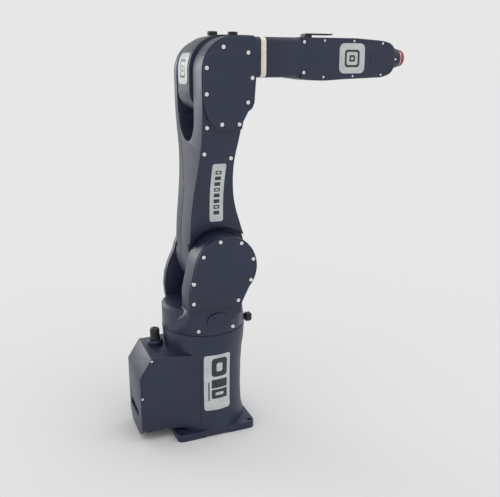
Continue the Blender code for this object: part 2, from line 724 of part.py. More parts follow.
def make_upper_arm():
    shoulder = (SHOULDER_X, SHOULDER_Z)
    elbow = (ELBOW_X, ELBOW_Z)
    harness = smooth(in_mm([(24, 0, 440), (20, 0, 500), (16, -8, 580), (18, -30, 650), (24, -60, 705),
                            (24, -78, 745), (24, -78, 800), (24, -88, 838)]), 4)
    return [
        make_upper_arm_casting(), make_far_arm_plate(), make_elbow_cover(), make_arm_label(),
        turned("j2_output_flange", in_mm([
            (0, -24), (40, -24), (40, -41.7), (30, -41.7), (30, -46.3), (0, -46.3)]),
            ALONG_Y, shoulder, STEEL),
        turned("j2_far_shaft", in_mm([
            (0, 94), (17.7, 94), (17.7, 69.5), (30, 69.5), (30, 64.3), (0, 64.3)]), ALONG_Y, shoulder, STEEL),
        cylinder("j3_motor", 42 * MM, -119 * MM, -84 * MM, ALONG_Y, elbow, MOTOR),
        turned("j3_reducer", in_mm([
            (0, -50), (50, -50), (50, -68.3), (45, -68.3), (45, -83.7), (0, -83.7)]), ALONG_Y, elbow, STEEL),
        ring("j3_far_bearing", 26 * MM, 16 * MM, 72.5 * MM, 83.5 * MM, ALONG_Y, elbow, STEEL, 32),
        turned("far_elbow_cover", in_mm([(0, 103), (33, 103), (36, 100), (36, 98.3), (0, 98.3)]),
               ALONG_Y, elbow, PAINT),
        tube("arm_cable_bundle", harness, 7 * MM, RUBBER),
    ]


# ---- elbow ------------------------------------------------------------------------------------------


def elbow_outline(grow=0.0):
    """The elbow housing from the side: round back, flat top and a neck for the forearm."""
    back = arc((43 * MM, 908.5 * MM), 79 * MM + grow, 90, 180, 12)
    low = arc((14 * MM, 864 * MM), 50 * MM + grow, 180, 270, 8)
    front = smooth(in_mm([(34, 814), (62, 826), (82, 858), (98, 883), (112, 893)]), 3)
    return back + low + front[1:] + in_mm([(112, 987.5)])


def tube_section(shrink):
    """The rounded square that the neck, the ring and the round of the forearm share."""
    low = (-TUBE_HALF_WIDTH + shrink, TUBE_HEIGHTS[0] + shrink)
    high = (TUBE_HALF_WIDTH - shrink, TUBE_HEIGHTS[1] - shrink)
    return rectangle(low, high, TUBE_CORNER - shrink, 5)


def make_joint_ring():
    """The pale ring between the neck and the forearm."""
    band_ring = slab("j4_ring", tube_section(1 * MM), RING[0], RING[1], FRONT_VIEW, CREAM)
    hole = cylinder("ring_hole", 38 * MM, 100 * MM, 200 * MM, ALONG_X, (0, FOREARM_Z), segments=40)
    return cut(band_ring, hole)


def make_elbow_housing():
    housing = slab("elbow_housing", elbow_outline(), -ELBOW_HALF_WIDTH, ELBOW_HALF_WIDTH, SIDE_VIEW, PAINT)
    axis = (0, FOREARM_Z)
    join(housing, slab("neck", tube_section(0), 90 * MM, NECK_END, FRONT_VIEW))
    cut(
        housing,
        cylinder("neck_bore", 40 * MM, 20 * MM, BIG, ALONG_X, axis, segments=32),
        cylinder("hub_room", 38 * MM, -37 * MM, 37 * MM, ALONG_Y, (ELBOW_X, ELBOW_Z)),
        cylinder("far_hub", 15.3 * MM, 30 * MM, 60 * MM, ALONG_Y, (ELBOW_X, ELBOW_Z), segments=24),
    )
    return housing


def make_elbow_badge():
    half = BADGE_SIDE / 2
    badge = slab("elbow_badge", elbow_outline(GAP + LABEL_THICKNESS), -half, half, SIDE_VIEW, LABEL)
    outline = rectangle((-half, 878 * MM), (half, 948 * MM), 12 * MM)
    keep_inside(badge, slab("badge_outline", outline, -80 * MM, 0, FRONT_VIEW))
    return cut(badge, slab("badge_back", elbow_outline(GAP), -60 * MM, 60 * MM, SIDE_VIEW))


def make_plug(name, x):
    return turned(name, in_mm([
        (0, 991), (4, 991), (4, 997), (10.5, 997), (12, 995.5), (12, 987.8), (0, 987.8)]),
        ALONG_Z, (x, 8 * MM), BLACK, 20)


def make_elbow():
    elbow = (ELBOW_X, ELBOW_Z)
    axis = (0, FOREARM_Z)
    return [
        make_elbow_housing(), make_elbow_badge(),
        make_plug("elbow_plug_rear", 40 * MM), make_plug("elbow_plug_front", 91 * MM),
        cylinder("j3_output_flange", 36 * MM, -49.7 * MM, -46.3 * MM, ALONG_Y, elbow, STEEL),
        turned("j3_far_shaft", in_mm([
            (0, 82), (15.7, 82), (15.7, 66), (22, 66), (22, 46.3), (15, 46.3), (15, 40), (0, 40)]),
            ALONG_Y, elbow, STEEL, 32),
        make_servo("j4_motor", 50 * MM, 50 * MM, 98 * MM, ALONG_X, axis, shaft_end=103.7 * MM),
        turned("j4_reducer", in_mm([(0, 140), (39.7, 140), (39.7, 104), (0, 104)]), ALONG_X, axis, STEEL),
        make_joint_ring(),
    ]


# ---- forearm ----------------------------------------------------------------------------------------


def forearm_outline(start):
    """The forearm from the side: a flat top, a shallow belly and a blunt rounded nose."""
    nose = smooth(in_mm([
        (400, 985.4), (450, 982.5), (480, 980), (498, 976), (510, 966), (514.5, 950), (515, 925),
        (510, 908), (498, 897), (478, 891)]), 2)
    belly = smooth(in_mm([(440, 889.5), (370, 887), (320, 884), (280, 885), (258, 888)]), 2)
    return [(start, 985.4 * MM)] + nose + belly + [(start, 890 * MM)]


def make_forearm_casting():
    axis = (0, FOREARM_Z)
    casting = slab("forearm_casting", tube_section(0), FOREARM_START, COVER_START, FRONT_VIEW, PAINT)
    half = FOREARM_HALF_WIDTH
    join(casting, slab("forearm_body", forearm_outline(COVER_START - 6 * MM), -half, half, SIDE_VIEW))
    slot = block("wrist_slot", (WRIST_SLOT_BACK, -WRIST_SLOT, 800 * MM), (600 * MM, WRIST_SLOT, 1100 * MM))
    pocket = rectangle((318 * MM, 909 * MM), (497 * MM, 969 * MM), 29 * MM, 8)
    wrist = (WRIST_X, FOREARM_Z)
    cut(
        casting,
        cylinder("forearm_bore", 34 * MM, 150 * MM, 398 * MM, ALONG_X, axis, segments=32),
        slot,
        slab("belt_pocket", pocket, -60 * MM, -30 * MM, SIDE_VIEW),
        cylinder("wrist_bore", 11 * MM, -60 * MM, 60 * MM, ALONG_Y, wrist),
        cylinder("far_pocket", 20.3 * MM, 31 * MM, 60 * MM, ALONG_Y, wrist, segments=32),
    )
    return casting


def make_wrist_cover(name, side):
    low, high = sorted((side * (FOREARM_HALF_WIDTH + GAP), side * WRIST_COVER_FACE))
    cover = slab(name, inset(forearm_outline(COVER_START - MM), 1.5 * MM), low, high, SIDE_VIEW, PAINT)
    soften(cover, 1.5 * MM)
    return cover


def make_cable_bracket():
    """A folded strip on top of the forearm: a foot at its back end and a thin raised tongue."""
    side = in_mm([(273, 985.8), (291, 985.8), (291, 993), (349, 993), (349, 996), (277, 996), (273, 994)])
    return slab("cable_bracket", side, -14 * MM, 14 * MM, SIDE_VIEW, BLACK)


def make_forearm():
    axis = (0, FOREARM_Z)
    wrist = (WRIST_X, FOREARM_Z)
    motor = (DRIVE_X, FOREARM_Z)
    badge = rectangle((351 * MM, 901 * MM), (423 * MM, 973 * MM), 13 * MM)
    face = -WRIST_COVER_FACE - GAP
    belt_outer = arc(wrist, 25 * MM, -90, 90, 12) + arc(motor, 25 * MM, 90, 270, 12)
    belt_inner = arc(wrist, 22.3 * MM, -90, 90, 12) + arc(motor, 22.3 * MM, 90, 270, 12)
    belt = slab("j5_belt", belt_outer, -38.5 * MM, -31.5 * MM, SIDE_VIEW, RUBBER)
    cut(belt, slab("belt_inside", belt_inner, -60 * MM, 0, SIDE_VIEW))
    return [
        make_forearm_casting(),
        make_wrist_cover("near_wrist_cover", -1),
        make_wrist_cover("far_wrist_cover", 1),
        make_cable_bracket(), belt,
        slab("wrist_badge", badge, face - LABEL_THICKNESS, face, SIDE_VIEW, LABEL),
        turned("j4_output_flange", in_mm([(0, 190), (33.7, 190), (33.7, 140.4), (0, 140.4)]),
               ALONG_X, axis, STEEL),
        cylinder("j5_motor", 24 * MM, -22 * MM, 22 * MM, ALONG_Y, motor, MOTOR),
        ring("j5_far_bearing", 20 * MM, 10.3 * MM, 31.3 * MM, 39 * MM, ALONG_Y, wrist, STEEL, 32),
    ]


def make_drive_pulley():
    return turned("j5_drive_pulley", in_mm([
        (0, -22.3), (8, -22.3), (8, -31.5), (22, -31.5), (22, -38.5), (0, -38.5)]), ALONG_Y,
        (DRIVE_X, FOREARM_Z), ALUMINIUM)


# ---- wrist and flange -------------------------------------------------------------------------------


def make_wrist():
    axis = (0, FOREARM_Z)
    wrist = (WRIST_X, FOREARM_Z)
    body = cylinder("wrist_body", BARREL_RADIUS, -WRIST_HALF_WIDTH, WRIST_HALF_WIDTH, ALONG_Y, wrist, PAINT)
    soften(body, 2 * MM)
    nose = turned("nose", in_mm([
        (0, 548), (23, 548), (25, 542), (25.5, 470), (0, 470)]), ALONG_X, axis, steps=40)
    stub = cylinder("far_stub", 10 * MM, 0, 38.5 * MM, ALONG_Y, wrist, segments=24)
    join(body, nose, stub)
    cut(body, cylinder("nose_bore", 20.3 * MM, 452 * MM, 600 * MM, ALONG_X, axis, segments=40))
    pulley = turned("j5_driven_pulley", in_mm([
        (0, -26.3), (10, -26.3), (10, -31.5), (22, -31.5), (22, -38.5), (0, -38.5)]), ALONG_Y, wrist,
        ALUMINIUM)
    return [
        body, pulley,
        cylinder("j6_motor", 18 * MM, 455 * MM, 512 * MM, ALONG_X, axis, MOTOR),
        cylinder("j6_reducer", 20 * MM, 512.3 * MM, 545 * MM, ALONG_X, axis, STEEL),
    ]


def make_flange():
    axis = (0, FOREARM_Z)
    flange = turned("tool_flange", in_mm([
        (0, 557), (6, 557), (6, 563), (16, 563), (16, 552), (21, 552), (21, 549), (19, 549),
        (19, 545.3), (0, 545.3)]), ALONG_X, axis, STEEL)
    for i in range(4):
        angle = math.radians(45 + 90 * i)
        place = (11 * MM * math.cos(angle), FOREARM_Z + 11 * MM * math.sin(angle))
        cut(flange, cylinder("tool_hole", 1.7 * MM, 555 * MM, 580 * MM, ALONG_X, place, segments=12))
    red = turned("flange_ring", in_mm([
        (17.5, 562.7), (19.5, 561), (21, 557.5), (21.5, 552.3), (16.3, 552.3), (16.3, 562.7)]),
        ALONG_X, axis, RED)
    return [flange, red]


def build():
    waist = joint_empty("j1_axis", (0, 0, COLUMN_TOP))
    arm = joint_empty("j2_axis", (SHOULDER_X, 0, SHOULDER_Z), waist)
    elbow = joint_empty("j3_axis", (ELBOW_X, 0, ELBOW_Z), arm)
    forearm = joint_empty("j4_axis", (FOREARM_START, 0, FOREARM_Z), elbow)
    pulley = joint_empty("j5_pulley_axis", (DRIVE_X, 0, FOREARM_Z), forearm)
    wrist = joint_empty("j5_axis", (WRIST_X, 0, FOREARM_Z), forearm)
    flange = joint_empty("j6_axis", (FLANGE_X, 0, FOREARM_Z), wrist)
    make_base()
    attach(waist, *make_waist())
    attach(arm, *make_upper_arm())
    attach(elbow, *make_elbow())
    attach(forearm, *make_forearm())
    attach(pulley, make_drive_pulley())
    attach(wrist, *make_wrist())
    attach(flange, *make_flange())


build()
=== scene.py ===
"""The looks of a six-axis bench robot arm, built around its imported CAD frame.

The frame's solids stay where they are. Each casting and cover that shows is replaced by a finer copy
with rounded edges and sunk screws, each label gets a plain generic print, and every surface gets a node
material. Metres, +Z up, the same frame as the CAD.
"""

import json
import math

import bmesh
import bpy
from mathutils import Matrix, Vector
from mathutils.bvhtree import BVHTree


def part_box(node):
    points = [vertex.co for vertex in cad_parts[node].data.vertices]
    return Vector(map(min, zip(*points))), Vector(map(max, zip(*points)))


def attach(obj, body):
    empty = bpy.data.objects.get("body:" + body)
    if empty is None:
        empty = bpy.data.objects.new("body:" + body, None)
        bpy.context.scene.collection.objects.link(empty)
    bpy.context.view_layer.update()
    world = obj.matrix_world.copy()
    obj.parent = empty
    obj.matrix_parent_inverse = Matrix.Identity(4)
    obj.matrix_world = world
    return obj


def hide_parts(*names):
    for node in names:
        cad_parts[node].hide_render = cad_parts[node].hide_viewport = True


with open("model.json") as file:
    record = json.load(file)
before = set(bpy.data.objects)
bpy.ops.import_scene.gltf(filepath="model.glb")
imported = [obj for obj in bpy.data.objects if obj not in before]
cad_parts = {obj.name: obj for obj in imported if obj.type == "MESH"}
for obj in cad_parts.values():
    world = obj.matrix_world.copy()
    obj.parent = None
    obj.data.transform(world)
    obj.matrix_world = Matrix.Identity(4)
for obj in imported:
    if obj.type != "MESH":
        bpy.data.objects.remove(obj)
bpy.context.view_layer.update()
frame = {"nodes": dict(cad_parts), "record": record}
NODES = frame["nodes"]
BODY_OF = {
    node: body
    for body, members in frame["record"]["behaviour"]["bodies"].items()
    for node in members
}
SLOT_OF = {part["node"]: part["material_slot"] for part in frame["record"]["subparts"]}

MM = 0.001
OUT = Vector((0, -1, 0))  # out of the near side, which the screws and most labels face
BACK = Vector((-1, 0, 0))
FOREARM_Z = (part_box("j4_ring")[0][2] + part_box("j4_ring")[1][2]) / 2
WRIST_X = (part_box("j5_driven_pulley")[0][0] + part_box("j5_driven_pulley")[1][0]) / 2

# Screws: head radius, the gap around the head and how deep the head is sunk
LARGE = 4.9 * MM
SMALL = 3.2 * MM
RIM = 1.9 * MM
SINK = 3.2 * MM
TURNS = 24

# The middles of the screw heads and holes on each near face: x and z, in millimetres
SHOULDER_SCREWS = [
    (12.3, 517.2), (65.5, 509.7), (96.0, 467), (89.5, 414.6), (56.5, 365.5), (-30.4, 484.4),
    (-55.5, 420), (-57.5, 370.5),
]
WAIST_SCREWS = [(-43.3, 293.5), (46.2, 293.5)]
ARM_SCREWS = [(-18.2, 785.4), (-19.8, 724.6), (46.9, 712)]
ELBOW_SCREWS = [
    (18.7, 958), (76.6, 946.7), (-20.2, 914.2), (-21.3, 858.9), (86.5, 892.8), (76, 839.9),
    (13.6, 792.6), (55, 792),
]
COVER_SCREWS = [(254.6, 974.5), (254.6, 903.3)]
COVER_SMALL_SCREWS = [
    (310.5, 978.2), (393.2, 978.2), (476.3, 973.5), (309, 892.6), (391.7, 894.5), (474, 897.5),
]
NOSE_SCREW = [(531.4, 936)]
REAR_SCREWS = [(-155.5, 219.3), (-183, 121.7)]
BROW_HOLES = [(-6.5, 327), (22.5, 327)]


# Distances within which doubled corners are merged, and the angles that count as flat or sharp
SAME_PLACE = 2e-6
FLAT_ANGLE = math.radians(0.6)
SHARP_ANGLE = math.radians(32)


# ---- node materials ---------------------------------------------------------------------------------


class Nodes:
    """A short way to write a material's node tree."""

    def __init__(self, name):
        self.material = bpy.data.materials.new(name)
        self.material.use_nodes = True
        self.tree = self.material.node_tree
        self.shader = self.tree.nodes["Principled BSDF"]
        self.place = self.add("ShaderNodeTexCoord").outputs["Object"]

    def add(self, kind, **settings):
        node = self.tree.nodes.new(kind)
        for key, value in settings.items():
            setattr(node, key, value)
        return node

    def link(self, value, socket):
        if isinstance(value, bpy.types.NodeSocket):
            self.tree.links.new(value, socket)
        else:
            socket.default_value = value

    def math(self, operation, first, second=0.0, clamp=False):
        node = self.add("ShaderNodeMath", operation=operation, use_clamp=clamp)
        self.link(first, node.inputs[0])
        self.link(second, node.inputs[1])
        return node.outputs[0]

    def noise(self, scale, detail=3.0, place=None):
        node = self.add("ShaderNodeTexNoise")
        self.link(place or self.place, node.inputs["Vector"])
        node.inputs["Scale"].default_value = scale
        node.inputs["Detail"].default_value = detail
        return node.outputs["Fac"]

    def ramp(self, value, low, high, bottom=0.0, top=1.0):
        node = self.add("ShaderNodeMapRange")
        self.link(value, node.inputs["Value"])
        settings = {"From Min": low, "From Max": high, "To Min": bottom, "To Max": top}
        for key, number in settings.items():
            node.inputs[key].default_value = number
        return node.outputs["Result"]

    def mix(self, share, first, second):
        node = self.add("ShaderNodeMix", data_type="RGBA")
        self.link(share, node.inputs[0])
        for colour, socket in ((first, node.inputs[6]), (second, node.inputs[7])):
            self.link(colour if isinstance(colour, bpy.types.NodeSocket) else (*colour, 1.0), socket)
        return node.outputs[2]

    def edges(self, radius):
        """1 along convex and concave edges, fading to 0 over the radius."""
        bevel = self.add("ShaderNodeBevel", samples=4)
        bevel.inputs["Radius"].default_value = radius
        normal = self.add("ShaderNodeNewGeometry").outputs["Normal"]
        dot = self.add("ShaderNodeVectorMath", operation="DOT_PRODUCT")
        self.link(bevel.outputs["Normal"], dot.inputs[0])
        self.link(normal, dot.inputs[1])
        return self.ramp(dot.outputs["Value"], 0.995, 0.86)

    def bump(self, height, strength, distance):
        node = self.add("ShaderNodeBump")
        self.link(height, node.inputs["Height"])
        node.inputs["Strength"].default_value = strength
        node.inputs["Distance"].default_value = distance
        self.link(node.outputs["Normal"], self.shader.inputs["Normal"])

    def finish(self, colour, roughness, metallic=0.0):
        self.link(colour, self.shader.inputs["Base Color"])
        self.link(roughness, self.shader.inputs["Roughness"])
        self.shader.inputs["Metallic"].default_value = metallic
        return self.material


def scaled(colour, factor):
    return tuple(min(1.0, value * factor) for value in colour)


def coated(name, colour, worn, roughness, peel=0.25, wear=0.5, specular=0.5):
    """Sprayed paint or coated plastic: cloudy colour, a fine orange peel and lighter, rubbed edges."""
    nodes = Nodes(name)
    cloud = nodes.ramp(nodes.noise(7.0, 4.0), 0.3, 0.7)
    tone = nodes.mix(cloud, scaled(colour, 0.86), scaled(colour, 1.14))
    patches = nodes.ramp(nodes.noise(140.0, 5.0), 0.42, 0.7)
    rubbed = nodes.math("MULTIPLY", nodes.math("MULTIPLY", nodes.edges(1.3 * MM), patches), wear)
    speckle = nodes.ramp(nodes.noise(2600.0, 2.0), 0.62, 0.8, 0.0, 0.18)
    tone = nodes.mix(speckle, tone, scaled(colour, 1.9))
    tone = nodes.mix(rubbed, tone, worn)
    gloss = nodes.ramp(nodes.noise(32.0, 4.0), 0.3, 0.7, roughness - 0.035, roughness + 0.045)
    nodes.bump(nodes.noise(1500.0, 2.0), peel, 0.12 * MM)
    nodes.shader.inputs["Specular IOR Level"].default_value = specular
    return nodes.finish(tone, gloss)


def moulded(name, colour, roughness, grain=0.35):
    """Moulded plastic or rubber with a fine spark-eroded grain."""
    nodes = Nodes(name)
    cloud = nodes.ramp(nodes.noise(30.0, 3.0), 0.3, 0.7)
    tone = nodes.mix(cloud, scaled(colour, 0.88), scaled(colour, 1.12))
    tone = nodes.mix(nodes.math("MULTIPLY", nodes.edges(0.8 * MM), 0.35), tone, scaled(colour, 2.2))
    gloss = nodes.ramp(nodes.noise(90.0, 4.0), 0.3, 0.7, roughness - 0.05, roughness + 0.06)
    nodes.bump(nodes.noise(2200.0, 4.0), grain, 0.1 * MM)
    return nodes.finish(tone, gloss)


def machined(name, colour, roughness, stretch=(1.0, 1.0, 1.0)):
    """Turned or ground metal with fine tool marks and a few dull patches."""
    nodes = Nodes(name)
    mapping = nodes.add("ShaderNodeMapping")
    nodes.link(nodes.place, mapping.inputs["Vector"])
    mapping.inputs["Scale"].default_value = stretch
    marks = nodes.noise(900.0, 3.0, mapping.outputs["Vector"])
    tone = nodes.mix(nodes.ramp(marks, 0.35, 0.65), scaled(colour, 0.82), scaled(colour, 1.06))
    stain = nodes.ramp(nodes.noise(60.0, 4.0), 0.5, 0.8, 0.0, 0.35)
    tone = nodes.mix(stain, tone, scaled(colour, 0.6))
    gloss = nodes.ramp(nodes.noise(110.0, 4.0), 0.3, 0.7, roughness - 0.06, roughness + 0.1)
    nodes.bump(marks, 0.2, 0.06 * MM)
    return nodes.finish(tone, gloss, 1.0)


def printed(name, across, shapes):
    """A light satin label plate with dark printed shapes.

    across is the axis that runs over the label, "X" or "Y"; up is Z. Each shape is a rounded box
    (middle across, middle up, half width, half height, corner radius, ink), in millimetres, where ink
    is 1 for a printed shape and 0 for one that is cut out of the shapes before it.
    """
    nodes = Nodes(name)
    axes = nodes.add("ShaderNodeSeparateXYZ")
    nodes.link(nodes.place, axes.inputs[0])
    ink = 0.0
    for middle, up, half_width, half_height, corner, printed_ink in shapes:
        sides = []
        for axis, centre, half in ((across, middle, half_width), ("Z", up, half_height)):
            away = nodes.math("ABSOLUTE", nodes.math("SUBTRACT", axes.outputs[axis], centre * MM))
            sides.append(nodes.math("MAXIMUM", nodes.math("SUBTRACT", away, (half - corner) * MM), 0.0))
        squares = [nodes.math("MULTIPLY", side, side) for side in sides]
        reach = nodes.math("SQRT", nodes.math("ADD", *squares))
        inside = nodes.ramp(reach, (corner + 0.15) * MM, (corner - 0.15) * MM)
        if printed_ink:
            ink = nodes.math("MAXIMUM", ink, inside)
        else:
            ink = nodes.math("MULTIPLY", ink, nodes.math("SUBTRACT", 1.0, inside))
    cloud = nodes.ramp(nodes.noise(40.0, 4.0), 0.3, 0.7)
    plate = nodes.mix(cloud, (0.50, 0.53, 0.53), (0.60, 0.63, 0.63))
    fade = nodes.ramp(nodes.noise(500.0, 4.0), 0.25, 0.5, 0.88, 1.0)
    tone = nodes.mix(nodes.math("MULTIPLY", ink, fade), plate, (0.018, 0.02, 0.026))
    tone = nodes.mix(nodes.math("MULTIPLY", nodes.edges(0.7 * MM), 0.5), tone, (0.2, 0.21, 0.22))
    gloss = nodes.ramp(nodes.noise(70.0, 4.0), 0.3, 0.7, 0.34, 0.46)
    nodes.bump(nodes.noise(1800.0, 3.0), 0.12, 0.05 * MM)
    return nodes.finish(tone, gloss)


def circuit_board():
    """Green board with a regular grid of tinned pads and darker tracks."""
    nodes = Nodes("board_finish")
    wave = nodes.add("ShaderNodeTexVoronoi", feature="F1", distance="CHEBYCHEV")
    nodes.link(nodes.place, wave.inputs["Vector"])
    wave.inputs["Scale"].default_value = 220.0
    wave.inputs["Randomness"].default_value = 0.4
    pads = nodes.ramp(wave.outputs["Distance"], 0.2, 0.16)
    tracks = nodes.ramp(nodes.noise(160.0, 1.0), 0.47, 0.53)
    tone = nodes.mix(tracks, (0.010, 0.10, 0.045), (0.016, 0.16, 0.07))
    tone = nodes.mix(pads, tone, (0.55, 0.52, 0.42))
    nodes.bump(tracks, 0.3, 0.05 * MM)
    return nodes.finish(tone, nodes.ramp(nodes.noise(80.0), 0.3, 0.7, 0.35, 0.5))


def label_rows(first, count, pitch, middle, half_width, half_height):
    """Evenly spaced printed blocks up a label, every third one with its centre cut out."""
    shapes = []
    for i in range(count):
        up = first + i * pitch
        shapes.append((middle, up, half_width, half_height, 1.4, 1))
        if i % 3 == 1:
            shapes.append((middle, up, half_width * 0.55, half_height * 0.4, 0.8, 0))
    return shapes


def emblem(middle, up):
    """Two generic rounded square rings, one in the other, centred on a badge."""
    return [
        (middle, up, 21, 21, 8, 1),
        (middle, up, 15.5, 15.5, 5, 0),
        (middle, up, 8, 8, 3, 1),
        (middle, up, 3.5, 3.5, 2, 0),
    ]


def near_label(node):
    """The middle of a label that faces -Y, across and up, in millimetres."""
    low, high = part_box(node)
    return (low[0] + high[0]) / 2 / MM, (low[2] + high[2]) / 2 / MM


NAVY = (0.014, 0.020, 0.049)
MATERIALS = {
    "navy_paint": coated("navy_finish", NAVY, (0.16, 0.17, 0.20), 0.40),
    "black_plastic": moulded("black_finish", (0.013, 0.013, 0.014), 0.46),
    "steel": machined("steel_finish", (0.60, 0.60, 0.61), 0.30),
    "aluminium": machined("aluminium_finish", (0.76, 0.76, 0.77), 0.34, (1.0, 8.0, 1.0)),
    "cream_plastic": moulded("cream_finish", (0.90, 0.83, 0.76), 0.42, 0.2),
    "motor_black": coated("motor_finish", (0.028, 0.028, 0.03), (0.3, 0.3, 0.31), 0.42),
    "rubber": moulded("rubber_finish", (0.02, 0.02, 0.021), 0.72, 0.6),
    "red_plastic": moulded("red_finish", (0.36, 0.016, 0.02), 0.36, 0.2),
    "circuit_board": circuit_board(),
}
SCREW_METAL = machined("screw_finish", (0.86, 0.87, 0.89), 0.26)

column_middle = near_label("column_label")
arm_middle = near_label("arm_label")
wrist_middle = near_label("wrist_badge")
badge_up = (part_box("elbow_badge")[0][2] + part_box("elbow_badge")[1][2]) / 2 / MM
LABELS = {
    "column_label": printed("column_print", "X", [
        (column_middle[0] + 5, column_middle[1] + 42, 21, 26, 9, 1),
        (column_middle[0] + 5, column_middle[1] + 42, 8, 12, 5, 0),
        (column_middle[0] + 5, column_middle[1] - 4, 21, 12, 3, 1),
        (column_middle[0] + 5, column_middle[1] - 33, 21, 13, 3, 1),
        (column_middle[0] + 5, column_middle[1] - 33, 11, 4, 2, 0),
        (column_middle[0] - 23, column_middle[1] - 24, 1.6, 26, 1, 1),
    ]),
    "arm_label": printed("arm_print", "X", label_rows(
        arm_middle[1] - 50, 8, 14.3, arm_middle[0], 7.5, 4.6)),
    "wrist_badge": printed("wrist_print", "X", emblem(*wrist_middle)),
    "elbow_badge": printed("elbow_print", "Y", emblem(0, badge_up)),
}


# ---- meshes -----------------------------------------------------------------------------------------


def new_object(name, shape, material):
    mesh = bpy.data.meshes.new(name)
    shape.to_mesh(mesh)
    shape.free()
    if "custom_normal" in mesh.attributes:
        mesh.attributes.remove(mesh.attributes["custom_normal"])
    mesh.materials.clear()
    mesh.materials.append(material)
    obj = bpy.data.objects.new(name, mesh)
    bpy.context.scene.collection.objects.link(obj)
    return obj


def apply_modifiers(obj):
    """Puts the modifiers' result in the mesh and shades it smooth between sharp edges."""
    bpy.context.view_layer.update()
    graph = bpy.context.evaluated_depsgraph_get()
    mesh = bpy.data.meshes.new_from_object(obj.evaluated_get(graph))
    obj.modifiers.clear()
    obj.data = mesh
    mesh.shade_smooth()
    mesh.set_sharp_from_angle(angle=SHARP_ANGLE)
    return obj


def join_rings(shape, rings):
    """Walls between rings of vertices, closed by a face at each end."""
    for low, high in zip(rings, rings[1:]):
        for i in range(len(low)):
            j = (i + 1) % len(low)
            shape.faces.new((low[i], low[j], high[j], high[i]))
    shape.faces.new(rings[0][::-1])
    shape.faces.new(rings[-1])


def ring_of(shape, place, turn, radius, height, sides=0):
    """A ring of vertices: a circle, or a polygon with that many sides whose inner radius is given."""
    ring = []
    for i in range(TURNS):
        angle = 2 * math.pi * i / TURNS
        reach = radius
        if sides:
            part = 2 * math.pi / sides
            reach = radius / math.cos((angle + part / 2) % part - part / 2)
        point = Vector((reach * math.cos(angle), reach * math.sin(angle), height))
        ring.append(shape.verts.new(place + turn @ point))
    return ring


def add_screw(shape, place, out, radius):
    """A low socket head: a rounded rim and a hexagonal recess."""
    turn = Vector((0, 0, 1)).rotation_difference(out)
    height = SINK - 0.2 * MM
    profile = [(radius, 0, 0), (radius, height * 0.7, 0), (radius * 0.94, height * 0.93, 0),
               (radius * 0.84, height, 0), (radius * 0.46, height, 6), (radius * 0.42, height * 0.3, 6)]
    join_rings(shape, [ring_of(shape, place, turn, r, h, sides) for r, h, sides in profile])


def add_sink(shape, place, out, radius, reach=12 * MM):
    """A cylinder from place outwards, to cut a round hole with."""
    turn = Vector((0, 0, 1)).rotation_difference(out)
    join_rings(shape, [ring_of(shape, place, turn, radius, h) for h in (0, reach)])


def surface_point(node, x, z):
    """Where a line along +Y first meets a node, at x and z."""
    tree = BVHTree.FromObject(NODES[node], bpy.context.evaluated_depsgraph_get())
    return tree.ray_cast(Vector((x, -1.0, z)), -OUT)[0]


def fit_screws(name, node, places, radius):
    """Screws sunk into the near side of a node, as one piece, and the cutter for their sinks."""
    heads, sinks = bmesh.new(), bmesh.new()
    for x, z in places:
        floor = surface_point(node, x * MM, z * MM) - OUT * SINK
        add_screw(heads, floor, OUT, radius)
        add_sink(sinks, floor, OUT, radius + RIM)
    screws = apply_modifiers(new_object(name, heads, SCREW_METAL))
    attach(screws, BODY_OF[node])
    return new_object(name + "_sinks", sinks, SCREW_METAL)


def holes(node, places, radius, depth):
    """The cutter for plain holes in the near side of a node."""
    sinks = bmesh.new()
    for x, z in places:
        add_sink(sinks, surface_point(node, x * MM, z * MM) - OUT * depth, OUT, radius)
    return new_object(node + "_holes", sinks, SCREW_METAL)


def cut(obj, *cutters):
    """Takes the cutters out of obj and deletes them."""
    for cutter in cutters:
        boolean = obj.modifiers.new("cut", "BOOLEAN")
        boolean.operation = "DIFFERENCE"
        boolean.solver = "EXACT"
        boolean.object = cutter
    apply_modifiers(obj)
    for cutter in cutters:
        bpy.data.objects.remove(cutter)
    return obj


def merge_flat_faces(obj):
    """Joins faces that lie in one plane, so only real edges are rounded."""
    shape = bmesh.new()
    shape.from_mesh(obj.data)
    bmesh.ops.remove_doubles(shape, verts=shape.verts, dist=SAME_PLACE)
    bmesh.ops.dissolve_limit(
        shape, angle_limit=FLAT_ANGLE, verts=shape.verts, edges=shape.edges)
    shape.to_mesh(obj.data)
    shape.free()


def round_edges(obj, width, angle=34.0):
    """Rounds every edge that turns by more than the angle."""
    merge_flat_faces(obj)
    bevel = obj.modifiers.new("round", "BEVEL")
    bevel.width = width
    bevel.segments = 3
    bevel.limit_method = "ANGLE"
    bevel.angle_limit = math.radians(angle)
    bevel.miter_outer = "MITER_ARC"
    return apply_modifiers(obj)


def set_back(shape, facing, step):
    """Moves every face that looks along facing back by step, with the edges it shares."""
    moved = {v for face in shape.faces if face.normal.dot(facing) > 0.7 for v in face.verts}
    bmesh.ops.translate(shape, vec=-facing * step, verts=list(moved))


def fine_copy(node, width, *cutters, facing=OUT, step=0.0):
    """A copy of a CAD node with sunk holes and rounded edges, which stands for it."""
    shape = bmesh.new()
    shape.from_mesh(NODES[node].data)
    bmesh.ops.remove_doubles(shape, verts=shape.verts, dist=SAME_PLACE)
    if step:
        set_back(shape, facing, step)
    material = LABELS.get(node) or MATERIALS[SLOT_OF[node]]
    obj = new_object(node + "_fine", shape, material)
    if cutters:
        cut(obj, *cutters)
    round_edges(obj, width)
    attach(obj, BODY_OF[node])
    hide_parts(node)
    return obj


# ---- the object -------------------------------------------------------------------------------------


def paint_frame():
    """Gives every CAD node that still shows its own node material."""
    for name, obj in NODES.items():
        obj.data.materials.clear()
        obj.data.materials.append(LABELS.get(name) or MATERIALS[SLOT_OF[name]])


